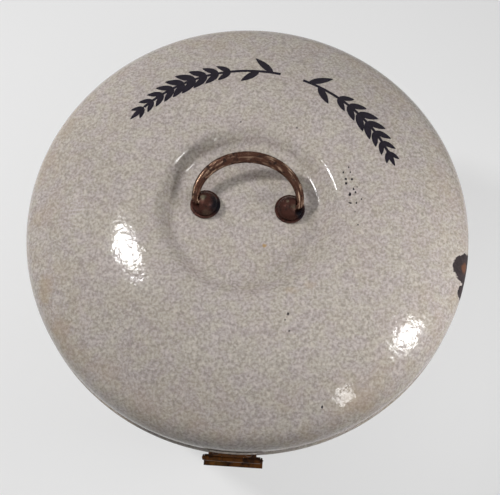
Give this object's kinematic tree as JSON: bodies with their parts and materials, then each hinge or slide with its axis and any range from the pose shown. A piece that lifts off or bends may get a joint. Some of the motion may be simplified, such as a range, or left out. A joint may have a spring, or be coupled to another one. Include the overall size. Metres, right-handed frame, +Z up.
{
  "type": "bread box",
  "caption": "Round enamelled bread box with a hinged domed lid, a drop bail in a round well on top, and a hasp that swings over a catch.",
  "frame": {"origin": "centre of the flat base, where the drum stands", "axes": "+Z up, -Y towards the front, where the hasp is, +Y towards the hinge, +X to the right seen from the front"},
  "size_m": [0.34, 0.3536, 0.2369],
  "materials": {
    "enamel": "glossy speckled vitreous enamel",
    "latch_brass": "dark aged brass",
    "rosette_brown": "rusted brown steel",
    "plain_steel": "dull plated steel",
    "bail_copper": "worn copper plate, rust spots"
  },
  "bodies": {
    "drum": {"drum_shell": "enamel", "hinge_leaf_drum": "latch_brass", "hinge_pin": "latch_brass", "hinge_rivet_drum_left": "latch_brass", "hinge_rivet_drum_middle": "latch_brass", "hinge_rivet_drum_right": "latch_brass", "catch": "latch_brass", "catch_rivet_left": "latch_brass", "catch_rivet_right": "latch_brass"},
    "lid": {"lid_shell": "enamel", "hinge_leaf_lid": "latch_brass", "hinge_rivet_lid_left": "latch_brass", "hinge_rivet_lid_middle": "latch_brass", "hinge_rivet_lid_right": "latch_brass", "hasp_leaf": "latch_brass", "hasp_pin": "latch_brass", "hasp_leaf_rivet_left": "latch_brass", "hasp_leaf_rivet_right": "latch_brass", "rosette_left": "rosette_brown", "rosette_right": "rosette_brown", "rosette_washer_left": "plain_steel", "rosette_washer_right": "plain_steel", "rosette_nut_left": "plain_steel", "rosette_nut_right": "plain_steel"},
    "bail": {"bail": "bail_copper"},
    "hasp": {"hasp": "latch_brass"}
  },
  "joints": [
    {"name": "lid_hinge", "type": "hinge", "parent": "drum", "child": "lid", "pos_m": [0, 0.1731, 0.17742], "axis": [-1, 0, 0], "range_deg": [0, 110]},
    {"name": "bail_hinge", "type": "hinge", "parent": "lid", "child": "bail", "pos_m": [0, 0.004, 0.22512], "axis": [1, 0, 0], "range_deg": [0, 148]},
    {"name": "hasp_hinge", "type": "hinge", "parent": "lid", "child": "hasp", "pos_m": [0, -0.1726, 0.17842], "axis": [-1, 0, 0], "range_deg": [-14, 150]}
  ]
}
